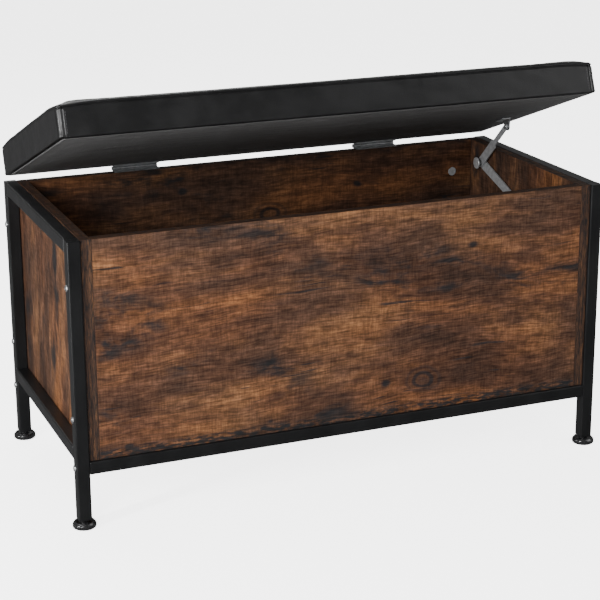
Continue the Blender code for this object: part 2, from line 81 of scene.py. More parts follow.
LID_JOINT = joint("lid_hinge")
LID_AXIS = Vector(LID_JOINT["pos_m"])
LID_OPENING = math.radians(-LID_JOINT["range_deg"][0])
OPEN_LID = (Matrix.Translation(LID_AXIS) @ Matrix.Rotation(-LID_OPENING, 4, "X")
            @ Matrix.Translation(-LID_AXIS))
SHUT_LID = OPEN_LID.inverted()


def shut_box(*nodes):
    """Lowest and highest corners of some of the lid's nodes once the lid is shut."""
    points = [SHUT_LID @ vertex.co for node in nodes for vertex in frame["nodes"][node].data.vertices]
    low = Vector([min(point[axis] for point in points) for axis in range(3)])
    high = Vector([max(point[axis] for point in points) for axis in range(3)])
    return low, high


# ---------------------------------------------------------------------------
# Sizes and colours
# ---------------------------------------------------------------------------

class CushionSettings(bpy.types.PropertyGroup):
    fill_limit: FloatProperty(name="Fill limit", description="How far the filling may push the cover out",
                              default=0.0055, min=0.0, unit="LENGTH")
    skin_inset: FloatProperty(name="Inset before filling", description="How much smaller the cover starts",
                              default=0.0022, min=0.0, unit="LENGTH")
    corner: FloatProperty(name="Corner radius", description="Roundness of the four upright corners",
                          default=0.010, min=0.002, unit="LENGTH")
    corner_drop: FloatProperty(name="Corner drop", default=0.0042, min=0.0, unit="LENGTH",
                               description="How much lower the top is at its four corners")
    seam_drop: FloatProperty(name="Seam drop", description="Height of the top seam below the top",
                             default=0.0085, min=0.0, unit="LENGTH")
    seam_depth: FloatProperty(name="Seam depth", description="How deep the thread pulls the seams in",
                              default=0.0015, min=0.0, unit="LENGTH")
    corner_seam: FloatProperty(name="Corner seam", default=0.012, min=0.0, unit="LENGTH",
                               description="Distance of the upright seams from the corners")
    stitch_length: FloatProperty(name="Stitch length", default=0.0030, min=0.001, unit="LENGTH",
                                 description="Length of one stitch beside the upright seams")
    colour: FloatVectorProperty(name="Cover colour", description="Colour of the faux leather",
                                default=(0.0050, 0.0050, 0.0052), subtype="COLOR", size=3)
    grain: FloatProperty(name="Grain size", description="Width of one pebble of the leather grain",
                         default=0.0011, min=0.0002, unit="LENGTH")
    thread: FloatVectorProperty(name="Thread colour", description="Colour of the stitches",
                                default=(0.045, 0.045, 0.047), subtype="COLOR", size=3)
    cloth: FloatVectorProperty(name="Dust cover colour", description="Colour of the cloth under the lid",
                               default=(0.0720, 0.0715, 0.0710), subtype="COLOR", size=3)
    margin: FloatProperty(name="Margin", description="Distance of the dust cover from the lid's edge",
                          default=0.006, min=0.0, unit="LENGTH")


class BoardSettings(bpy.types.PropertyGroup):
    light: FloatVectorProperty(name="Light grain", description="Lightest colour of the grain",
                               default=(0.117, 0.0545, 0.0240), subtype="COLOR", size=3)
    middle: FloatVectorProperty(name="Middle grain", description="Main colour of the grain",
                                default=(0.056, 0.0280, 0.0165), subtype="COLOR", size=3)
    dark: FloatVectorProperty(name="Dark grain", description="Darkest colour of the grain",
                              default=(0.027, 0.0155, 0.0112), subtype="COLOR", size=3)
    stain: FloatVectorProperty(name="Stain", description="Colour of the stains and knots",
                               default=(0.0085, 0.0100, 0.0112), subtype="COLOR", size=3)
    # Painted shade: how much darker the faces inside the box are painted, standing in for the shade there.
    inside: FloatProperty(name="Inside shade", description="Brightness of the faces inside the box",
                          default=0.90, min=0.1)


class MetalSettings(bpy.types.PropertyGroup):
    paint: FloatVectorProperty(name="Frame paint", description="Colour of the powder coat on the tubes",
                               default=(0.0048, 0.0049, 0.0052), subtype="COLOR", size=3)
    zinc: FloatVectorProperty(name="Zinc", description="Colour of bolts, hinges and the lid's stay",
                              default=(0.46, 0.47, 0.48), subtype="COLOR", size=3)
    plastic: FloatVectorProperty(name="Plastic", description="Colour of the levelling feet",
                                 default=(0.007, 0.007, 0.0075), subtype="COLOR", size=3)
    hinge_screws: IntProperty(name="Screws in a leaf", description="Number of screws in each hinge leaf",
                              default=3, min=2, max=4)


class StageSettings(bpy.types.PropertyGroup):
    floor: FloatVectorProperty(name="Floor colour", description="Colour of the studio floor",
                               default=(0.86, 0.86, 0.86), subtype="COLOR", size=3)
    backdrop: FloatProperty(name="Backdrop", description="Brightness that the floor and the backdrop show",
                            default=3.8, min=0.0)
    key_power: FloatProperty(name="Key light", description="Power of the main light", default=112.0, min=0.0,
                             unit="POWER")
    strip_power: FloatProperty(name="Strip light", description="Power of the narrow light beside the bench",
                               default=95.0, min=0.0, unit="POWER")
    fill_power: FloatProperty(name="Fill light", description="Power of the softer lights", default=30.0,
                              min=0.0, unit="POWER")
    air: FloatProperty(name="Room light", description="Brightness of the light from all round", default=0.20,
                       min=0.0)


# ---------------------------------------------------------------------------
# Finishes
# ---------------------------------------------------------------------------

class Finish:
    """A procedural material, built node by node in the object's own metres."""

    def __init__(self, name):
        self.material = bpy.data.materials.new(name)
        self.material.use_nodes = True
        self.tree = self.material.node_tree
        self.shader = self.tree.nodes["Principled BSDF"]
        self.place = self.tree.nodes.new("ShaderNodeTexCoord").outputs["Object"]

    def add(self, kind, **settings):
        made = self.tree.nodes.new(kind)
        for key, value in settings.items():
            setattr(made, key, value)
        return made

    def feed(self, socket, value):
        if isinstance(value, bpy.types.NodeSocket):
            self.tree.links.new(value, socket)
        elif isinstance(value, (tuple, list)) and len(value) == 3 and socket.type == "RGBA":
            socket.default_value = (*value, 1.0)
        else:
            socket.default_value = value

    def sum(self, operation, first, second=0.0, clamp=False):
        made = self.add("ShaderNodeMath", operation=operation, use_clamp=clamp)
        self.feed(made.inputs[0], first)
        self.feed(made.inputs[1], second)
        return made.outputs[0]

    def vector(self, operation, first, second):
        made = self.add("ShaderNodeVectorMath", operation=operation)
        self.feed(made.inputs[0], first)
        self.feed(made.inputs[1], second)
        return made.outputs[0]

    def axes(self, place, order):
        """The place with its axes in another order, such as XZY."""
        split = self.add("ShaderNodeSeparateXYZ")
        self.feed(split.inputs[0], place)
        joined = self.add("ShaderNodeCombineXYZ")
        for slot, axis in enumerate(order):
            self.feed(joined.inputs[slot], split.outputs["XYZ".index(axis)])
        return joined.outputs[0]

    def axis(self, place, name):
        split = self.add("ShaderNodeSeparateXYZ")
        self.feed(split.inputs[0], place)
        return split.outputs[name]

    def cloud(self, place, stretch, detail=2.0, rough=0.5, bend=0.0, output="Fac"):
        """Soft noise. stretch is how many features there are to the metre along each axis."""
        made = self.add("ShaderNodeTexNoise")
        self.feed(made.inputs["Vector"], self.vector("MULTIPLY", place, stretch))
        made.inputs["Scale"].default_value = 1.0
        made.inputs["Detail"].default_value = detail
        made.inputs["Roughness"].default_value = rough
        made.inputs["Distortion"].default_value = bend
        return made.outputs[output]

    def cells(self, place, stretch, feature="F1", output="Distance", scatter=1.0):
        made = self.add("ShaderNodeTexVoronoi", feature=feature)
        self.feed(made.inputs["Vector"], self.vector("MULTIPLY", place, stretch))
        made.inputs["Scale"].default_value = 1.0
        made.inputs["Randomness"].default_value = scatter
        return made.outputs[output]

    def ramp(self, value, low, high, start=0.0, stop=1.0):
        """start below low, stop above high, and a smooth step between them."""
        made = self.add("ShaderNodeMapRange", interpolation_type="SMOOTHSTEP")
        for socket, number in zip(made.inputs, (value, low, high, start, stop)):
            self.feed(socket, number)
        return made.outputs[0]

    def colours(self, value, stops):
        made = self.add("ShaderNodeValToRGB")
        self.feed(made.inputs[0], value)
        marks = made.color_ramp.elements
        while len(marks) < len(stops):
            marks.new(0.5)
        for mark, (place, colour) in zip(marks, stops):
            mark.position = place
            mark.color = (*colour, 1.0)
        return made.outputs[0]

    def mix(self, factor, first, second):
        made = self.add("ShaderNodeMix", data_type="RGBA")
        self.feed(made.inputs["Factor"], factor)
        self.feed(made.inputs[6], first)
        self.feed(made.inputs[7], second)
        return made.outputs[2]

    def shade(self, colour, value):
        """colour times a number."""
        made = self.add("ShaderNodeVectorMath", operation="SCALE")
        self.feed(made.inputs[0], colour)
        self.feed(made.inputs["Scale"], value)
        return made.outputs[0]

    def relief(self, height, depth, below=None):
        """Bump of the given depth in metres, laid over an earlier bump."""
        made = self.add("ShaderNodeBump")
        made.inputs["Strength"].default_value = 1.0
        made.inputs["Distance"].default_value = depth
        self.feed(made.inputs["Height"], height)
        if below:
            self.feed(made.inputs["Normal"], below)
        return made.outputs[0]

    def finish(self, colour, rough, normal=None, metal=0.0, gloss=0.2):
        self.feed(self.shader.inputs["Base Color"], colour)
        self.feed(self.shader.inputs["Roughness"], rough)
        self.shader.inputs["Metallic"].default_value = metal
        self.shader.inputs["Specular IOR Level"].default_value = gloss
        if normal:
            self.feed(self.shader.inputs["Normal"], normal)
        return self.material


def browns(work, settings, value, dark, middle, light):
    """The three browns of the print, blended along a value."""
    return work.colours(value, [(dark, settings.dark[:]), (middle, settings.middle[:]),
                                (light, settings.light[:])])


def lines_and_knots(work, place, flow):
    """How dark the stains, knots and cracks of the print are, from 0 to 1."""
    patch = work.ramp(work.cloud(flow, (11, 27, 8), 4.0, 0.64, 0.4), 0.48, 0.66)
    where = work.ramp(work.cloud(place, (4.5, 9.0, 3), 2.0), 0.44, 0.60)
    dark = work.sum("MULTIPLY", work.sum("MULTIPLY", patch, where), 0.90)

    flat = (1.0, 1.0, 0.0)
    small = work.vector("MULTIPLY", work.vector("MULTIPLY", flow, (12.0, 18.0, 1.0)), flat)
    size = work.cells(small, (1.0, 1.0, 1.0))
    pick = work.axis(work.cells(small, (1.0, 1.0, 1.0), output="Color"), "X")
    spot = work.ramp(size, work.ramp(pick, 0.55, 0.95, 0.02, 0.06), work.ramp(pick, 0.55, 0.95, 0.05, 0.15),
                     1.0, 0.0)
    spot = work.sum("MULTIPLY", spot, work.ramp(pick, 0.52, 0.60, 0.0, 0.88))
    dark = work.sum("MAXIMUM", dark, spot)

    large = work.vector("MULTIPLY", work.vector("MULTIPLY", flow, (4.4, 7.2, 1.0)), flat)
    size = work.cells(large, (1.0, 1.0, 1.0))
    pick = work.axis(work.cells(large, (1.0, 1.0, 1.0), output="Color"), "Y")
    ring = work.ramp(work.sum("ABSOLUTE", work.sum("SUBTRACT", size, 0.075)), 0.006, 0.026, 0.75, 0.0)
    outer = work.ramp(work.sum("ABSOLUTE", work.sum("SUBTRACT", size, 0.135)), 0.004, 0.022, 0.38, 0.0)
    ring = work.sum("MULTIPLY", work.sum("MAXIMUM", ring, outer), work.ramp(pick, 0.56, 0.60))
    dark = work.sum("MAXIMUM", dark, ring)

    split = work.ramp(work.cloud(flow, (9, 190, 14), 3.0, 0.6), 0.625, 0.68)
    split = work.sum("MULTIPLY", split, work.ramp(work.cloud(place, (6, 13, 6), 1.0), 0.47, 0.58, 0.0, 0.85))
    return work.sum("MAXIMUM", dark, split)


def board_grain(work, settings, place, seed, foot=None):
    """Rustic laminate with its grain along the first axis, as colour, roughness and height.

    foot is the second-axis height of an edge that has a dark, mottled band along it."""
    unmoved = place
    place = work.vector("ADD", place, (seed * 1.7, seed * 2.3, seed * 0.9))
    half = (0.5, 0.5, 0.5)
    drift = work.vector("SUBTRACT", work.cloud(place, (2.4, 5.5, 2.5), 2.0, output="Color"), half)
    flow = work.vector("ADD", place, work.vector("MULTIPLY", drift, (0.09, 0.060, 0.0)))
    ripple = work.vector("SUBTRACT", work.cloud(place, (13, 34, 9), 2.0, output="Color"), half)
    flow = work.vector("ADD", flow, work.vector("MULTIPLY", ripple, (0.010, 0.0065, 0.0)))

    zone = work.cloud(flow, (5.0, 15, 4), 4.0, 0.60)
    base = browns(work, settings, zone, 0.34, 0.49, 0.66)
    streak = work.cloud(flow, (9, 75, 9), 4.0, 0.66)
    base = work.shade(base, work.ramp(streak, 0.30, 0.70, 0.80, 1.20))
    blot = work.cloud(place, (48, 85, 40), 4.0, 0.68)
    base = work.shade(base, work.ramp(blot, 0.30, 0.70, 0.70, 1.30))
    fibre = work.cloud(flow, (26, 330, 60), 4.0, 0.72)
    base = work.shade(base, work.ramp(fibre, 0.30, 0.70, 0.52, 1.52))
    saw = work.cloud(place, (340, 42, 60), 3.0, 0.7)
    base = work.shade(base, work.ramp(saw, 0.30, 0.70, 0.76, 1.26))
    red = work.ramp(work.cloud(place, (3.0, 6.0, 3), 2.0), 0.42, 0.62, 0.0, 0.65)
    base = work.mix(red, base, work.vector("MULTIPLY", base, (1.06, 0.86, 0.72)))

    dark = lines_and_knots(work, place, flow)
    if foot is not None:
        mottle = work.ramp(work.cloud(place, (55, 190, 60), 3.0, 0.65), 0.40, 0.56)
        height = work.sum("SUBTRACT", work.axis(unmoved, "Y"), foot)
        band = work.ramp(height, 0.009, 0.020, 0.92, 0.0)
        dark = work.sum("MAXIMUM", dark, work.sum("MULTIPLY", mottle, band))
    ink = work.shade(settings.stain[:], work.ramp(fibre, 0.30, 0.70, 0.7, 1.6))
    base = work.mix(dark, base, ink)
    height = work.sum("SUBTRACT", work.sum("MULTIPLY", fibre, 0.55), work.sum("MULTIPLY", dark, 0.45))
    rough = work.ramp(work.cloud(flow, (40, 260, 40), 2.0), 0.3, 0.7, 0.52, 0.68)
    return base, rough, height


def edge_strip(work, settings, place):
    """Edging tape: short dark flecks along the first axis over the same browns."""
    fleck = work.cloud(place, (75, 900, 700), 4.0, 0.72)
    tone = work.cloud(place, (22, 260, 200), 3.0, 0.6)
    base = browns(work, settings, tone, 0.34, 0.52, 0.72)
    base = work.mix(work.ramp(fleck, 0.44, 0.56, 0.85, 0.0), base, settings.stain[:])
    return work.shade(base, 0.92)


def board_finish(name, settings, grain, seed, edge_axes=(), inner_painted_shade=None, foot=None):
    """Laminated board. grain is the order of axes that puts the grain first; edges get edging tape.

    inner_painted_shade is the axis and sign of the face inside the box, and the share of light that it keeps:
    that face is painted darker, as painted shade for the dim inside of the box."""
    work = Finish(name)
    place = work.axes(work.place, grain)
    colour, rough, height = board_grain(work, settings, place, seed, foot)
    normal = work.add("ShaderNodeNewGeometry").outputs["Normal"]
    for axis, order in edge_axes:
        facing = work.ramp(work.sum("ABSOLUTE", work.axis(normal, axis)), 0.80, 0.90)
        colour = work.mix(facing, colour, edge_strip(work, settings, work.axes(work.place, order)))
    if inner_painted_shade:
        axis, sign, share = inner_painted_shade
        # Painted shade: the face inside the box is darkened by its share times the inside shade, standing in
        # for the shade that falls inside the box.
        facing = work.sum("MULTIPLY", work.axis(normal, axis), sign)
        colour = work.shade(colour, work.ramp(facing, 0.6, 0.8, 1.0, share * settings.inside))
    return work.finish(colour, rough, work.relief(height, 0.00018), gloss=0.12)


def powder_coat(settings):
    work = Finish("powder_coat_black")
    peel = work.cloud(work.place, (900, 900, 900), 2.0, 0.6)
    broad = work.cloud(work.place, (24, 24, 9), 2.0)
    colour = work.shade(settings.paint[:], work.ramp(broad, 0.3, 0.7, 0.85, 1.2))
    rough = work.ramp(broad, 0.3, 0.7, 0.30, 0.38)
    return work.finish(colour, rough, work.relief(peel, 0.00006), gloss=0.34)


def zinc_plate(settings, name, stretch, tint=1.0, metal=1.0):
    work = Finish(name)
    brush = work.cloud(work.place, stretch, 3.0, 0.6)
    cloudy = work.cloud(work.place, (160, 160, 160), 2.0)
    colour = work.shade(settings.zinc[:], work.ramp(cloudy, 0.3, 0.7, 0.80 * tint, 1.08 * tint))
    rough = work.ramp(brush, 0.3, 0.7, 0.28, 0.44)
    return work.finish(colour, rough, work.relief(brush, 0.00004), metal=metal, gloss=0.5)


def moulded_plastic(settings, name, rough):
    work = Finish(name)
    mould = work.cloud(work.place, (700, 700, 700), 2.0)
    colour = work.shade(settings.plastic[:], work.ramp(mould, 0.3, 0.7, 0.85, 1.25))
    return work.finish(colour, work.ramp(mould, 0.3, 0.7, rough - 0.05, rough + 0.06),
                       work.relief(mould, 0.00005), gloss=0.75)


def faux_leather(settings, name, wrinkle):
    work = Finish(name)
    pitch = 1.0 / settings.grain
    drift = work.cloud(work.place, (300, 300, 300), 1.0, output="Color")
    warp = work.vector("SUBTRACT", drift, (0.5, 0.5, 0.5))
    place = work.vector("ADD", work.place, work.vector("MULTIPLY", warp, (0.0016, 0.0016, 0.0016)))
    pebble = work.cells(place, (pitch, pitch, pitch), "SMOOTH_F1")
    pores = work.cloud(work.place, (2400, 2400, 2400), 1.0)
    height = work.sum("SUBTRACT", 1.0, pebble)
    crease = work.cloud(work.place, (20, 26, 22), 3.0, 0.5, 0.5)
    shine = work.cloud(work.place, (18, 22, 22), 3.0, 0.6)
    colour = work.shade(settings.colour[:], work.ramp(shine, 0.3, 0.7, 0.85, 1.25))
    rough = work.sum("ADD", work.ramp(shine, 0.3, 0.7, 0.29, 0.39), work.sum("MULTIPLY", pebble, 0.08))
    bump = work.relief(crease, wrinkle)
    bump = work.relief(height, 0.00012, bump)
    bump = work.relief(pores, 0.00003, bump)
    return work.finish(colour, rough, bump, gloss=0.32)


def thread_finish(settings):
    work = Finish("black_thread")
    twist = work.cloud(work.place, (1800, 1800, 1800), 1.0)
    colour = work.shade(settings.thread[:], work.ramp(twist, 0.3, 0.7, 0.7, 1.4))
    return work.finish(colour, 0.55, work.relief(twist, 0.0001))


def non_woven(settings):
    """Black dust cover: pressed dots over a felted ground, with long soft folds."""
    work = Finish("black_dust_cover")
    dots = work.cells(work.place, (620, 620, 620), scatter=0.15)
    felt = work.cloud(work.place, (1500, 1500, 1500), 2.0)
    folds = work.cloud(work.place, (5, 42, 42), 3.0, 0.55, 0.8)
    colour = work.shade(settings.cloth[:], work.ramp(felt, 0.3, 0.7, 0.75, 1.3))
    rough = work.ramp(felt, 0.3, 0.7, 0.52, 0.66)
    bump = work.relief(folds, 0.004)
    bump = work.relief(work.ramp(dots, 0.1, 0.4), 0.00010, bump)
    return work.finish(colour, rough, work.relief(felt, 0.00008, bump), gloss=0.22)


def dress(nodes, finish):
    """Give CAD nodes a finish."""
    for name in nodes:
        mesh = frame["nodes"][name].data
        mesh.materials.clear()
        mesh.materials.append(finish)


def named(*starts):
    return [name for name in frame["nodes"] if name.startswith(starts)]


# ---------------------------------------------------------------------------
# Mesh helpers
# ---------------------------------------------------------------------------

def to_object(shape, name, finish, smooth=True):
    mesh = bpy.data.meshes.new(name)
    shape.to_mesh(mesh)
    shape.free()
    mesh.materials.append(finish)
    if smooth:
        mesh.shade_smooth()
        mesh.set_sharp_from_angle(angle=math.radians(40))
    made = bpy.data.objects.new(name, mesh)
    bpy.context.scene.collection.objects.link(made)
    return made


def turned(profile, sides):
    """Closed shape turned about Z from (radius, height) points; the ends lie on the axis."""
    shape = bmesh.new()
    points = [shape.verts.new((radius, 0.0, height)) for radius, height in profile]
    edges = [shape.edges.new(pair) for pair in zip(points, points[1:])]
    bmesh.ops.spin(shape, geom=points + edges, axis=(0, 0, 1), cent=(0, 0, 0), steps=sides,
                   angle=2 * math.pi, use_duplicate=False)
    bmesh.ops.remove_doubles(shape, verts=shape.verts, dist=0.000001)
    bmesh.ops.recalc_face_normals(shape, faces=shape.faces)
    return shape


def apply_modifiers(piece):
    bpy.context.view_layer.objects.active = piece
    for step in list(piece.modifiers):
        bpy.ops.object.modifier_apply(modifier=step.name)


def aimed(place, direction):
    """Matrix that puts Z along direction at a place."""
    return Matrix.Translation(place) @ Vector(direction).to_track_quat("Z", "Y").to_matrix().to_4x4()


# ---------------------------------------------------------------------------
# Cushion
# ---------------------------------------------------------------------------

VOXEL = 0.006
FILL_STEPS = 20
PRESSURE = 4.0
SEAM_WIDTH = 0.0009
DROP_REACH = 0.034
STITCH_GAP = 1.4
STITCH_RADIUS = 0.00050
STITCH_INSET = 0.0040
HEM = 0.007
CLOTH_THICKNESS = 0.0003


def outline(low, high, corner, seam):
    """Points round the lid's rounded outline, each with its outward direction.

    They stand closer together at the upright seams, which are seam away from each corner."""
    half = (high - low) / 2
    centre = (low + high) / 2
    points = []
    for quarter in range(4):
        ahead = Vector((round(math.cos(quarter * math.pi / 2)), round(math.sin(quarter * math.pi / 2))))
        side = Vector((-ahead.y, ahead.x))
        reach = abs(half.x * ahead.x) + abs(half.y * ahead.y)
        run = abs(half.x * side.x) + abs(half.y * side.y) - corner
        spots = list(np.linspace(-run, run, max(4, round(2 * run / 0.0055)) + 1)[:-1])
        if ahead.y:
            mark = run + corner - seam
            spots = [spot for spot in spots if abs(abs(spot) - mark) > 0.0045]
            spots += [sign * mark + shift for sign in (-1, 1)
                      for shift in (-0.0036, -0.0018, -0.0009, 0.0, 0.0009, 0.0018, 0.0036)]
            spots.sort()
        for spot in spots:
            points.append((centre.xy + ahead * reach + side * spot, ahead))
        pivot = centre.xy + ahead * (reach - corner) + side * run
        for number in range(8):
            turn = quarter * math.pi / 2 + number * math.pi / 16
            out = Vector((math.cos(turn), math.sin(turn)))
            points.append((pivot + corner * out, out))
    return points


def ring(points, inset, height, low, high, corner):
    """The outline moved in by inset; past the corner radius it shrinks towards the lid's long middle line."""
    half = (high - low) / 2
    centre = (low + high) / 2
    near = min(inset, corner * 0.7)
    placed = []
    for spot, out in points:
        start = spot - out * near
        reach = half.x - half.y
        middle = Vector((centre.x + max(-reach, min(reach, spot.x - centre.x)), centre.y))
        share = (inset - near) / (half.y - near)
        placed.append((*start.lerp(middle, share), height))
    return placed


def cover_profile(low, high, settings):
    """(inset, height) steps of the cover, from the middle of its underside round to the middle of its top."""
    skin, drop = settings.skin_inset, settings.seam_drop
    depth = (high.y - low.y) / 2
    floor, top = low.z + 0.0009, high.z - skin
    seam = high.z - drop
    steps = [(inset, floor) for inset in np.linspace(depth * 0.98, 0.014, 9)]
    steps += [(skin + 0.008, floor), (skin + 0.0045, floor)]
    for number in range(5):
        turn = number * math.pi / 8
        steps.append((skin + 0.003 * (1 - math.sin(turn)), floor + 0.003 * (1 - math.cos(turn))))
    steps += [(skin, height) for height in np.linspace(floor + 0.006, seam - 0.0036, 9)]
    steps += [(skin, seam + shift) for shift in (-0.0020, -0.0011, -0.0005, 0.0, 0.0005, 0.0011)]
    radius = top - seam - 0.0018
    for number in range(9):
        turn = number * math.pi / 16
        steps.append((skin + radius * (1 - math.cos(turn)), top - radius * (1 - math.sin(turn))))
    steps += [(inset, top) for inset in np.linspace(0.014, depth * 0.98, 32)]
    return steps


def cover_mesh(low, high, settings):
    """The cover before it is filled, as rows of points that close up into one skin."""
    corner = settings.corner
    points = outline(low, high, corner, settings.corner_seam)
    shape = bmesh.new()
    rings = []
    for inset, height in cover_profile(low, high, settings):
        rings.append([shape.verts.new(co) for co in ring(points, inset, height, low, high, corner)])
    for lower, upper in zip(rings, rings[1:]):
        for number, mark in enumerate(lower):
            after = (number + 1) % len(lower)
            shape.faces.new((mark, lower[after], upper[after], upper[number]))
    for end in (rings[0], rings[-1]):
        edges = {shape.edges.get((end[number - 1], end[number])) for number in range(len(end))}
        bmesh.ops.holes_fill(shape, edges=list(edges), sides=0)
    bmesh.ops.recalc_face_normals(shape, faces=shape.faces)
    return shape


def filled_shift(piece, floor, limit):
    """Fill a coarse copy of the cover with cloth pressure. Returns its grid and how far each point moved."""
    body = piece.copy()
    body.data = piece.data.copy()
    bpy.context.scene.collection.objects.link(body)
    remesh = body.modifiers.new("Grid", "REMESH")
    remesh.mode = "VOXEL"
    remesh.voxel_size = VOXEL
    apply_modifiers(body)
    before = points_of(body)
    held = body.vertex_groups.new(name="held")
    held.add([int(number) for number in np.flatnonzero(before[:, 2] < floor + VOXEL)], 1.0, "REPLACE")
    cloth = body.modifiers.new("Fill", "CLOTH")
    cloth.settings.quality = 4
    cloth.settings.mass = 0.3
    cloth.settings.tension_stiffness = 15
    cloth.settings.compression_stiffness = 15
    cloth.settings.bending_stiffness = 0.5
    cloth.settings.use_pressure = True
    cloth.settings.uniform_pressure_force = PRESSURE
    cloth.settings.vertex_group_mass = "held"
    cloth.settings.effector_weights.gravity = 0.0
    cloth.collision_settings.use_collision = False
    cloth.point_cache.frame_end = FILL_STEPS
    for number in range(1, FILL_STEPS + 1):
        bpy.context.scene.frame_set(number)
    apply_modifiers(body)
    bpy.context.scene.frame_set(1)
    move = points_of(body) - before
    length = np.linalg.norm(move, axis=1, keepdims=True)
    move *= limit * np.tanh(length / limit) / np.maximum(length, 1e-9)
    triangles = [tuple(face.vertices) for face in body.data.polygons]
    bpy.data.objects.remove(body)
    return before, triangles, move


def points_of(piece):
    places = np.empty(len(piece.data.vertices) * 3)
    piece.data.vertices.foreach_get("co", places)
    return places.reshape(-1, 3)


def normals_of(piece):
    directions = np.empty(len(piece.data.vertices) * 3)
    piece.data.vertices.foreach_get("normal", directions)
    return directions.reshape(-1, 3)


def move_points(piece, places):
    piece.data.vertices.foreach_set("co", places.ravel())
    piece.data.update()


def fill_cover(piece, floor, limit, inward=0.0008):
    """Carry the filling's push from the coarse grid to the cover, which may sink by inward at most."""
    before, faces, move = filled_shift(piece, floor, limit)
    tree = BVHTree.FromPolygons(before.tolist(), faces)
    places, out = points_of(piece), normals_of(piece)
    for number, place in enumerate(places):
        spot, _, face, _ = tree.find_nearest(Vector(place))
        corners = faces[face]
        gaps = np.linalg.norm(before[list(corners)] - np.array(spot), axis=1)
        share = 1.0 / np.maximum(gaps, 0.0004)
        push = (move[list(corners)] * (share / share.sum())[:, None]).sum(axis=0) @ out[number]
        places[number] = place + out[number] * max(push, -inward)
    move_points(piece, places)


def shape_cover(piece, low, high, settings):
    """Pull in the seams, crease the sides, let the top dip a little and drop its four corners."""
    places, out = points_of(piece), normals_of(piece)
    centre, half = (low + high) / 2, (high - low) / 2
    seam = high.z - settings.seam_drop
    across = places[:, 0] - centre.x
    along = places[:, 1] - centre.y
    level = np.hypot(out[:, 0], out[:, 1])
    pull = settings.seam_depth * np.exp(-((places[:, 2] - seam) / SEAM_WIDTH) ** 2) * (level > 0.5)
    mark = half.x - settings.corner_seam
    long_face = np.abs(out[:, 1]) > 0.8
    upright = np.exp(-((np.abs(across) - mark) / SEAM_WIDTH) ** 2) * (places[:, 2] < seam)
    pull += settings.seam_depth * 0.8 * upright * long_face
    for number, (x, y, z) in enumerate(places):
        if level[number] > 0.4:
            crease = noise.noise(Vector((x * 24 + z * 30, y * 24, z * 55)))
            tuck = noise.noise(Vector((x * 95, y * 95, z * 18 + 5.0)))
            near_seam = math.exp(-((z - seam) / 0.012) ** 2)
            pull[number] += 0.00045 * crease + 0.00030 * tuck * near_seam
        elif out[number, 2] > 0.4:
            edge = min(half.x - abs(across[number]), half.y - abs(along[number]))
            fade = max(0.0, min(1.0, (edge - 0.012) / 0.05))
            broad = noise.noise(Vector((x * 8, y * 11, 3.1)))
            small = noise.noise(Vector((x * 36, y * 48, 7.7)))
            tuck = noise.noise(Vector((x * 70, y * 70, 2.2))) * max(0.0, 1.0 - edge / 0.03)
            pull[number] -= fade * (0.0010 * broad + 0.00025 * small) + 0.00035 * tuck
    moved = places - out * pull[:, None]
    from_corner = np.hypot(half.x - np.abs(across), half.y - np.abs(along))
    height = np.clip((places[:, 2] - low.z) / (high.z - low.z), 0.0, 1.0)
    moved[:, 2] -= settings.corner_drop * np.exp(-(from_corner / DROP_REACH) ** 2) * height ** 2
    move_points(piece, moved)


def stitch(shape, start, stop, normal, radius):
    """Add one stitch, a short rounded thread lying on the cover, to a mesh."""
    run = stop - start
    made = bmesh.ops.create_uvsphere(shape, u_segments=7, v_segments=5, radius=1.0)["verts"]
    bmesh.ops.scale(shape, verts=made, vec=(radius, radius, run.length * 0.5))
    bmesh.ops.transform(shape, verts=made, matrix=aimed((start + stop) / 2 + normal * radius * 0.5, run))


def corner_stitches(tree, low, high, settings):
    """A row of stitches beside each upright seam."""
    shape = bmesh.new()
    pitch = settings.stitch_length * STITCH_GAP
    centre, half = (low + high) / 2, (high - low) / 2
    start, stop = low.z + 0.006, high.z - settings.seam_drop - 0.003
    offset = half.x - settings.corner_seam - STITCH_INSET
    for sign_x in (-1, 1):
        for sign_y in (-1, 1):
            outside = Vector((centre.x + sign_x * offset, centre.y + sign_y * (half.y + 0.05), 0.0))
            for number in range(int((stop - start) / pitch)):
                ends = []
                for height in (start + number * pitch, start + number * pitch + settings.stitch_length):
                    outside.z = height
                    hit, normal, _, _ = tree.ray_cast(outside, Vector((0.0, -sign_y, 0.0)), 0.12)
                    if hit is None:
                        raise RuntimeError("a stitch found no cushion to lie on")
                    ends.append(hit)
                stitch(shape, ends[0], ends[1], normal, STITCH_RADIUS)
    return shape


def bake_place(piece, place):
    """Move a mesh's points by a matrix, with the object left at the origin."""
    piece.data.transform(place)
    piece.data.update()


class BENCH_OT_cushion(bpy.types.Operator):
    """Make the padded cover of the lid, with its seams and stitches"""
    bl_idname = "bench.cushion"
    bl_label = "Cushion"

    def execute(self, context):
        settings = context.scene.bench_cushion
        low, high = shut_box("seat_cushion", "lid_underside")
        leather = faux_leather(settings, "faux_leather_black", 0.0006)
        cover = to_object(cover_mesh(low, high, settings), "padded_cover", leather)
        fill_cover(cover, low.z, settings.fill_limit)
        shape_cover(cover, low, high, settings)
        cover.data.shade_smooth()
        tree = BVHTree.FromPolygons([vertex.co.copy() for vertex in cover.data.vertices],
                                    [face.vertices[:] for face in cover.data.polygons])
        stitches = to_object(corner_stitches(tree, low, high, settings), "corner_stitches",
                             thread_finish(settings))
        for piece in (cover, stitches):
            bake_place(piece, OPEN_LID)
            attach(piece, "lid")
        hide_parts("seat_cushion", "seat_foam", "lid_board")
        return {"FINISHED"}


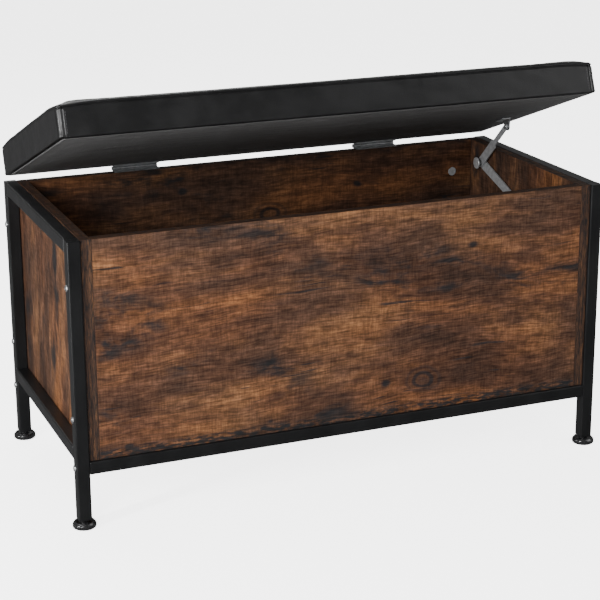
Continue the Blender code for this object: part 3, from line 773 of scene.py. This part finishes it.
class BENCH_OT_underside(bpy.types.Operator):
    """Stretch the dust cover under the lid"""
    bl_idname = "bench.underside"
    bl_label = "Underside of the lid"

    def execute(self, context):
        settings = context.scene.bench_cushion
        margin = settings.margin
        low, high = shut_box("lid_underside")
        width, depth = high.x - low.x - 2 * margin, high.y - low.y - 2 * margin
        centre = Vector(((low.x + high.x) / 2, (low.y + high.y) / 2, low.z + 0.0006))
        near, far = shut_box("stay_lid_bracket")
        shape = bmesh.new()
        bmesh.ops.create_grid(shape, x_segments=190, y_segments=95, size=0.5)
        for vertex in shape.verts:
            x, y = vertex.co.x * width, vertex.co.y * depth
            edge = min(width / 2 - abs(x), depth / 2 - abs(y))
            spot = centre + Vector((x, y, 0.0))
            clear = max(near.x - spot.x, spot.x - far.x, near.y - spot.y, spot.y - far.y, 0.0)
            fade = max(0.0, min(1.0, edge / 0.020)) * min(1.0, clear / 0.020)
            fold = noise.noise(Vector((x * 5, y * 34, 1.3)))
            fold += 0.6 * noise.noise(Vector((x * 12, y * 80, 4.2)))
            hem = 0.00035 if edge < HEM else 0.0
            vertex.co = spot + Vector((0.0, 0.0, -hem - fade * (0.0007 + 0.0009 * fold)))
        for face in shape.faces:
            face.normal_flip()
        sheet = to_object(shape, "dust_cover", non_woven(settings))
        thick = sheet.modifiers.new("Thickness", "SOLIDIFY")
        thick.thickness = CLOTH_THICKNESS
        thick.offset = 1.0
        apply_modifiers(sheet)
        bake_place(sheet, OPEN_LID)
        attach(sheet, "lid")
        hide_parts("lid_underside")
        return {"FINISHED"}


# ---------------------------------------------------------------------------
# Boards, frame and hardware
# ---------------------------------------------------------------------------

class BENCH_OT_boards(bpy.types.Operator):
    """Give the boards their rustic laminate and edging"""
    bl_idname = "bench.boards"
    bl_label = "Boards"

    def execute(self, context):
        settings = context.scene.bench_board
        long_edges = (("Z", "XYZ"), ("X", "ZYX"))
        end_edges = (("Z", "YXZ"), ("Y", "ZXY"))
        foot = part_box("front_panel")[0].z
        boards = (
            # The tuple before the last on each board is its painted shade inside the box: axis, sign and the
            # share of light kept; the back's inside is painted darkest.
            ("front", ["front_panel"], "XZY", 1.0, long_edges, ("Y", 1, 0.8), foot),
            ("back", ["back_panel"], "XZY", 4.0, long_edges, ("Y", -1, 0.62), foot),
            ("left", ["left_panel"], "ZYX", 7.0, end_edges, ("X", 1, 1.0), None),
            ("right", ["right_panel"], "ZYX", 11.0, end_edges, ("X", -1, 1.0), None),
            ("floor", ["floor_panel"], "XYZ", 15.0, (), None, None),
            ("lid", ["lid_board", "seat_foam"], "XYZ", 19.0, (), None, None),
        )
        for name, nodes, *print_of_board in boards:
            dress(nodes, board_finish(f"laminate_{name}", settings, *print_of_board))
        return {"FINISHED"}


class BENCH_OT_frame(bpy.types.Operator):
    """Powder-coat the steel tubes"""
    bl_idname = "bench.frame"
    bl_label = "Steel frame"

    def execute(self, context):
        dress(named("leg_front", "leg_rear", "top_rail", "lower_rail", "long_rail"),
              powder_coat(context.scene.bench_metal))
        return {"FINISHED"}


class BENCH_OT_feet(bpy.types.Operator):
    """Give the levelling feet their moulded plastic"""
    bl_idname = "bench.feet"
    bl_label = "Levelling feet"

    def execute(self, context):
        settings = context.scene.bench_metal
        dress(named("foot_"), moulded_plastic(settings, "foot_plastic", 0.24))
        dress(named("leg_insert", "stay_elbow_washer"), moulded_plastic(settings, "insert_plastic", 0.40))
        return {"FINISHED"}


SCREW_RADIUS = 0.0026
SCREW_HEAD = ((0.0, -0.0006), (0.6, -0.0006), (1.0, 0.0), (0.97, 0.00018), (0.72, 0.00048),
              (0.40, 0.00058), (0.30, 0.00030), (0.0, 0.00018))
SCREW_SIDES = 16
LEAF_THICKNESS = 0.0012
SCREW_ROW = 0.0075


def screw_shape():
    """Domed screw head with a dished middle, its seat at 0 and its top along +Z."""
    return turned([(SCREW_RADIUS * share, height) for share, height in SCREW_HEAD], SCREW_SIDES)


def add_screws(name, places, direction, body, finish):
    """One object holding a like set of screws, all facing the same way."""
    whole = bmesh.new()
    for place in places:
        head = screw_shape()
        bmesh.ops.transform(head, verts=head.verts, matrix=aimed(place, direction))
        mesh = bpy.data.meshes.new(name)
        head.to_mesh(mesh)
        head.free()
        whole.from_mesh(mesh)
        bpy.data.meshes.remove(mesh)
    screws = to_object(whole, name, finish)
    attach(screws, body)


class BENCH_OT_hardware(bpy.types.Operator):
    """Plate the bolts, hinges, cam locks and stay, and add the screws"""
    bl_idname = "bench.hardware"
    bl_label = "Hinges, stay and fixings"

    def execute(self, context):
        settings = context.scene.bench_metal
        plate = zinc_plate(settings, "zinc_plate", (1500, 120, 1500))
        stay = zinc_plate(settings, "satin_zinc", (1500, 120, 600), 0.74, 0.50)
        bright = zinc_plate(settings, "bright_zinc", (400, 400, 400), 1.15)
        dull = zinc_plate(settings, "dull_zinc", (300, 300, 300), 0.50, 0.3)
        dress(named("upper_bolt", "middle_bolt", "rail_bolt", "stay_top_rivet", "stay_lid_bracket"), bright)
        dress(named("hinge_"), plate)
        dress(named("stay_side", "stay_upper", "stay_lower", "stay_elbow_pin"), stay)
        dress(named("upper_cam", "lower_cam"), dull)
        for side in ("left", "right"):
            self.leaf_screws(settings, side, bright)
        return {"FINISHED"}

    def leaf_screws(self, settings, side, finish):
        low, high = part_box(f"hinge_box_leaf_{side}")
        row = [low.x + (high.x - low.x) * (number + 0.5) / settings.hinge_screws
               for number in range(settings.hinge_screws)]
        places = [Vector((x, low.y + SCREW_ROW, low.z + LEAF_THICKNESS)) for x in row]
        add_screws(f"box_leaf_screws_{side}", places, Vector((0, 0, 1)), "bench", finish)
        low, high = shut_box(f"hinge_lid_leaf_{side}")
        places = [OPEN_LID @ Vector((x, low.y + SCREW_ROW, high.z - LEAF_THICKNESS)) for x in row]
        add_screws(f"lid_leaf_screws_{side}", places, OPEN_LID.to_3x3() @ Vector((0, 0, -1)), "lid", finish)


# ---------------------------------------------------------------------------
# Stage
# ---------------------------------------------------------------------------

FLOOR_REACH = 8.0
FLOOR_GAP = 0.0004
LAMPS = (
    ("key", (-1.9, -2.5, 1.45), (0, 0, 0.35), (1.2, 1.2), "key_power"),
    ("fill", (2.3, -1.6, 1.5), (0, 0, 0.3), (1.8, 1.8), "fill_power"),
    ("strip", (-2.4, -0.95, 0.75), (-0.4, -0.2, 0.4), (0.14, 1.4), "strip_power"),
    ("top", (0.0, 0.9, 2.6), (0, 0, 0.4), (2.2, 1.4), "fill_power"),
    ("back", (0.1, 2.3, 2.3), (0, 0, 0.2), (1.8, 1.2), "fill_power"),
)
LENS = 102.9
SENSOR = 36.0
LENS_SHIFT = -0.04
CAMERA_PLACE = (-0.9966, -2.4729, 1.0890)
CAMERA_TURN = (90 - 16.829, 0.295, -22.04)


def add_area(name, place, target, size, power):
    lamp = bpy.data.lights.new(name, "AREA")
    lamp.shape = "RECTANGLE"
    lamp.size, lamp.size_y = size
    lamp.energy = power
    made = bpy.data.objects.new(name, lamp)
    made.location = place
    made.rotation_euler = (Vector(target) - Vector(place)).to_track_quat("-Z", "Y").to_euler()
    bpy.context.scene.collection.objects.link(made)


class BENCH_OT_stage(bpy.types.Operator):
    """Set up the floor, the lights and the camera"""
    bl_idname = "bench.stage"
    bl_label = "Studio"

    def execute(self, context):
        settings = context.scene.bench_stage
        self.floor(settings)
        self.lights(settings)
        self.camera(context)
        return {"FINISHED"}

    def floor(self, settings):
        shape = bmesh.new()
        bmesh.ops.create_grid(shape, x_segments=2, y_segments=2, size=FLOOR_REACH)
        work = Finish("studio_floor")
        cloudy = work.cloud(work.place, (3, 3, 3), 2.0)
        work.shader.inputs["Emission Color"].default_value = (1.0, 1.0, 1.0, 1.0)
        seen = work.add("ShaderNodeLightPath").outputs["Is Camera Ray"]
        work.feed(work.shader.inputs["Emission Strength"], work.sum("MULTIPLY", seen, settings.backdrop))
        finish = work.finish(work.shade(settings.floor[:], work.ramp(cloudy, 0.3, 0.7, 0.985, 1.0)), 0.7)
        floor = to_object(shape, "studio_floor", finish, smooth=False)
        floor.location.z = CAD_BOX[0].z - FLOOR_GAP
        floor.visible_glossy = False

    def lights(self, settings):
        world = bpy.context.scene.world or bpy.data.worlds.new("Studio")
        bpy.context.scene.world = world
        world.use_nodes = True
        ground = world.node_tree.nodes["Background"]
        ground.inputs["Color"].default_value = (1.0, 1.0, 1.0, 1.0)
        seen = world.node_tree.nodes.new("ShaderNodeLightPath").outputs["Is Camera Ray"]
        level = world.node_tree.nodes.new("ShaderNodeMapRange")
        level.inputs["To Min"].default_value = settings.air
        level.inputs["To Max"].default_value = settings.backdrop
        world.node_tree.links.new(seen, level.inputs["Value"])
        world.node_tree.links.new(level.outputs[0], ground.inputs["Strength"])
        for name, place, target, size, power in LAMPS:
            add_area(name, place, target, size, getattr(settings, power))

    def camera(self, context):
        lens = bpy.data.cameras.new("Camera")
        lens.lens = LENS
        lens.sensor_width = SENSOR
        lens.shift_y = LENS_SHIFT
        camera = bpy.data.objects.new("Camera", lens)
        camera.location = CAMERA_PLACE
        camera.rotation_euler = [math.radians(turn) for turn in CAMERA_TURN]
        context.scene.collection.objects.link(camera)
        context.scene.camera = camera


# ---------------------------------------------------------------------------
# Panel and registration
# ---------------------------------------------------------------------------

OPERATORS = (BENCH_OT_stage, BENCH_OT_frame, BENCH_OT_boards, BENCH_OT_feet, BENCH_OT_hardware,
             BENCH_OT_cushion, BENCH_OT_underside)
SETTINGS = {"bench_cushion": CushionSettings, "bench_board": BoardSettings,
            "bench_metal": MetalSettings, "bench_stage": StageSettings}


class BENCH_PT_panel(bpy.types.Panel):
    """Sizes, colours and steps of the bench"""
    bl_idname = "BENCH_PT_panel"
    bl_label = "Storage bench"
    bl_space_type = "VIEW_3D"
    bl_region_type = "UI"
    bl_category = "Bench"

    def draw(self, context):
        for name, group in SETTINGS.items():
            column = self.layout.column(align=True)
            for key in group.__annotations__:
                column.prop(getattr(context.scene, name), key)
        for step in OPERATORS:
            self.layout.operator(step.bl_idname)


CLASSES = (*SETTINGS.values(), *OPERATORS, BENCH_PT_panel)


def register():
    for item in CLASSES:
        bpy.utils.register_class(item)
    for name, group in SETTINGS.items():
        setattr(bpy.types.Scene, name, PointerProperty(type=group))


def unregister():
    for name in SETTINGS:
        delattr(bpy.types.Scene, name)
    for item in reversed(CLASSES):
        bpy.utils.unregister_class(item)


def main():
    register()
    bpy.ops.bench.stage()
    bpy.ops.bench.frame()
    bpy.ops.bench.boards()
    bpy.ops.bench.feet()
    bpy.ops.bench.hardware()
    bpy.ops.bench.cushion()
    bpy.ops.bench.underside()


if __name__ == "__main__":
    main()
